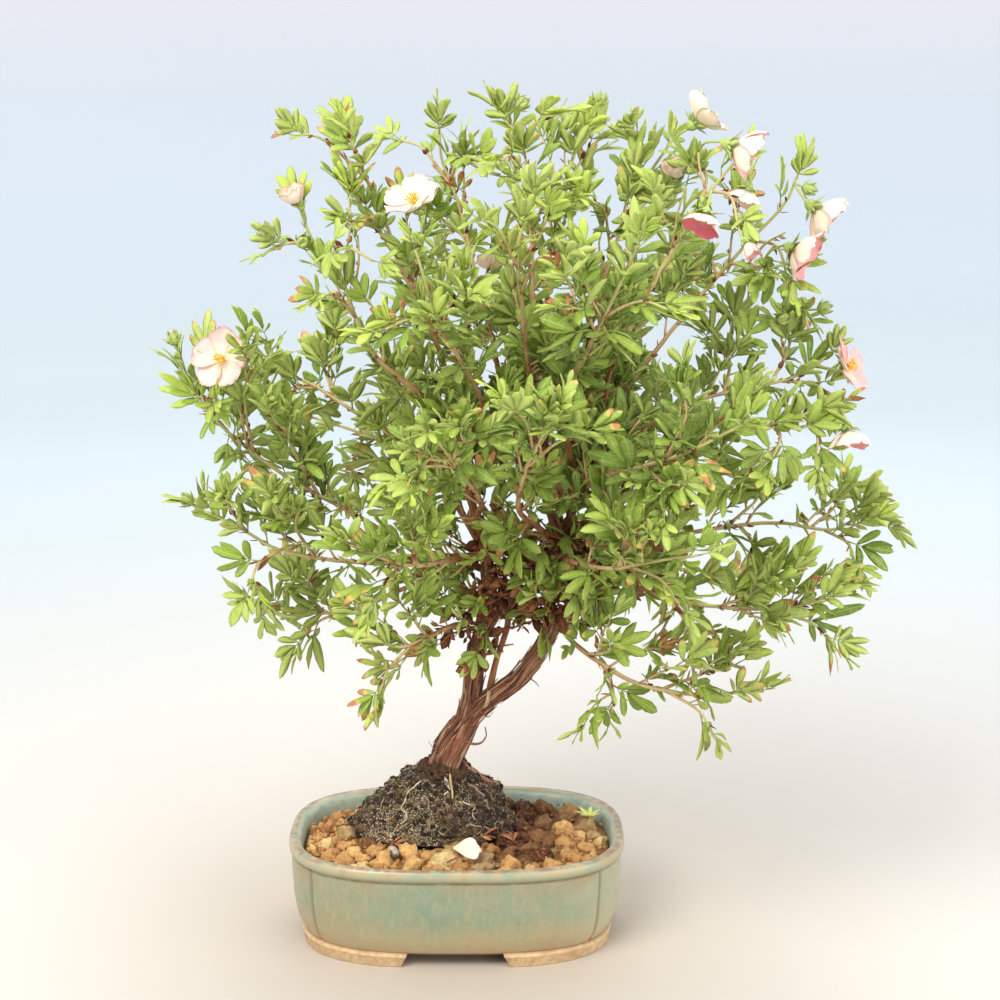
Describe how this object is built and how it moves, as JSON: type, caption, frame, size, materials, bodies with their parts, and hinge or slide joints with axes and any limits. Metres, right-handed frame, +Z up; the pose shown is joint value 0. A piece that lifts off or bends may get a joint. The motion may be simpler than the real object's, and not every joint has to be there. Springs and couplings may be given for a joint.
{
  "type": "potted bonsai shrub",
  "caption": "Small flowering shrub trained as a bonsai: forked leaning trunk, fan of fine shoots with compound leaves and pale cupped blooms, on a soil mound in a footed oval glazed pot.",
  "frame": {"origin": "on the ground, under the middle of the box around the whole plant and pot", "axes": "+Z up, the pot's long side along X, the front that the blooms and the trunk's curve are shown from towards -Y"},
  "size_m": [0.3496, 0.2622, 0.4038],
  "materials": {
    "glaze": "gloss",
    "soil": "matte",
    "mound": "matte",
    "grains": "matte",
    "bark": "matte",
    "foliage": "satin",
    "petal": "satin",
    "stamen": "matte",
    "dry_leaf": "matte",
    "weed": "satin"
  },
  "bodies": {
    "root": {"pot": "glaze", "soil_fill": "soil", "root_mound": "mound", "grain_layer": "grains", "fallen_petal": "petal", "dead_leaf": "dry_leaf", "weed": "weed", "trunk_and_branches": "bark", "bloom_left_open": "petal", "stamens_left_open": "stamen", "bloom_left_half_open": "petal", "bloom_top_left_open": "petal", "stamens_top_left_open": "stamen", "bloom_inner_back": "petal", "bloom_crown_right": "petal", "bloom_right_high": "petal", "stamens_right_high": "stamen", "bloom_right_high_back": "petal", "bloom_right_inner_bud": "petal", "bloom_right_nodding": "petal", "stamens_right_nodding": "stamen", "bloom_right_pink_bud": "petal", "bloom_right_side": "petal", "stamens_right_side": "stamen", "bloom_right_hanging": "petal", "bloom_right_profile": "petal", "stamens_right_profile": "stamen", "bloom_right_lower_nodding": "petal", "spray_top_left": "foliage", "spray_left_upper": "foliage", "spray_top_left_inner": "foliage", "spray_top_centre": "foliage", "spray_top_centre_back": "foliage", "spray_top_right": "foliage", "spray_right_top": "foliage", "spray_right_upper": "foliage", "spray_right_middle": "foliage", "spray_right_low_middle": "foliage", "spray_right_long": "foliage", "spray_lower_right": "foliage", "spray_lowest_right": "foliage", "spray_left_long": "foliage", "spray_left_middle": "foliage", "spray_left_low": "foliage", "spray_left_lowest": "foliage", "spray_hanging_left": "foliage", "spray_front_centre": "foliage", "spray_front_left": "foliage", "spray_front_upper_left": "foliage", "spray_front_upper_right": "foliage", "spray_front_right": "foliage", "spray_front_low_right": "foliage", "spray_front_low_left": "foliage", "spray_back_upper_left": "foliage", "spray_back_upper_right": "foliage", "spray_back_left": "foliage", "spray_back_right": "foliage", "spray_back_low_right": "foliage", "spray_back_centre": "foliage", "spray_crown_front": "foliage"}
  },
  "joints": []
}
